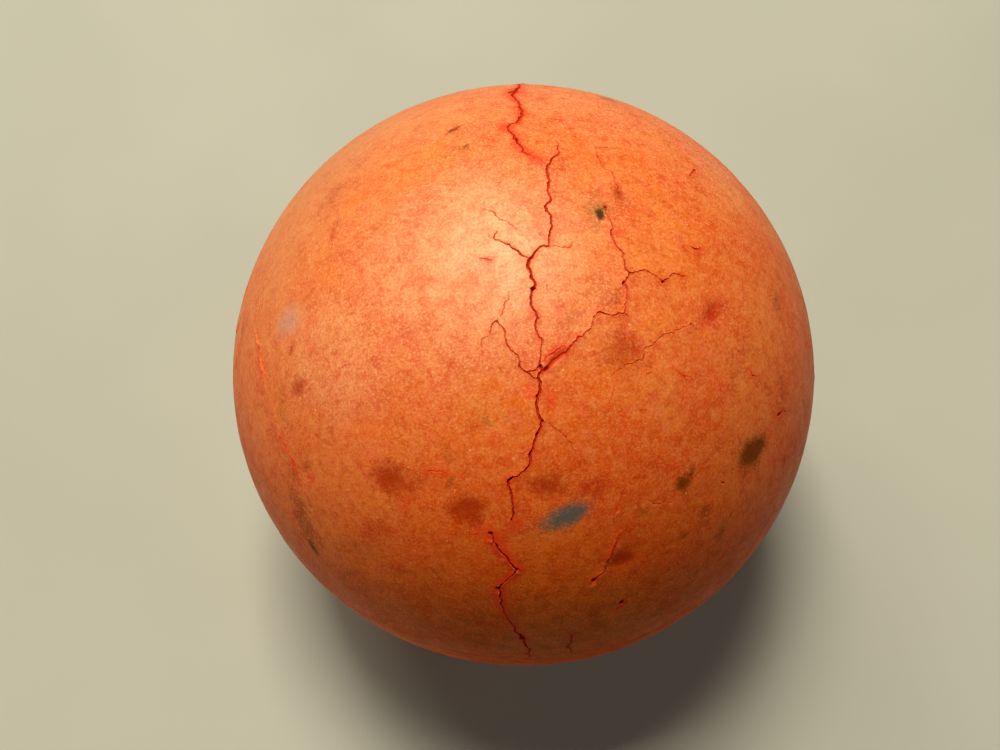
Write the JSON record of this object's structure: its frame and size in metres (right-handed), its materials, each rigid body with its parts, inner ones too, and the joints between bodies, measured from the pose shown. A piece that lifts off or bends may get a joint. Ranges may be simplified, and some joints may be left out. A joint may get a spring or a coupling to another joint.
{
  "type": "croquet ball",
  "caption": "Worn orange-red composition croquet ball: a solid core inside a cracked, through-coloured casing moulded in halves.",
  "frame": {"origin": "centre of the ball", "axes": "+Z through the middle of the upper casing half, square to the seam plane; the most worn and cracked face looks towards -Y and +Z"},
  "size_m": [0.092, 0.092, 0.0922],
  "materials": {
    "casing": "hard through-coloured moulding compound, orange-red, weathered and satin with fine granular speckle, bruises, stains and open cracks that show fresh deep red",
    "core": "granulated cork bound in dark rubber, matte"
  },
  "bodies": {
    "root": {"core": "core", "casing_upper_half": "casing", "casing_lower_half": "casing"}
  },
  "joints": []
}
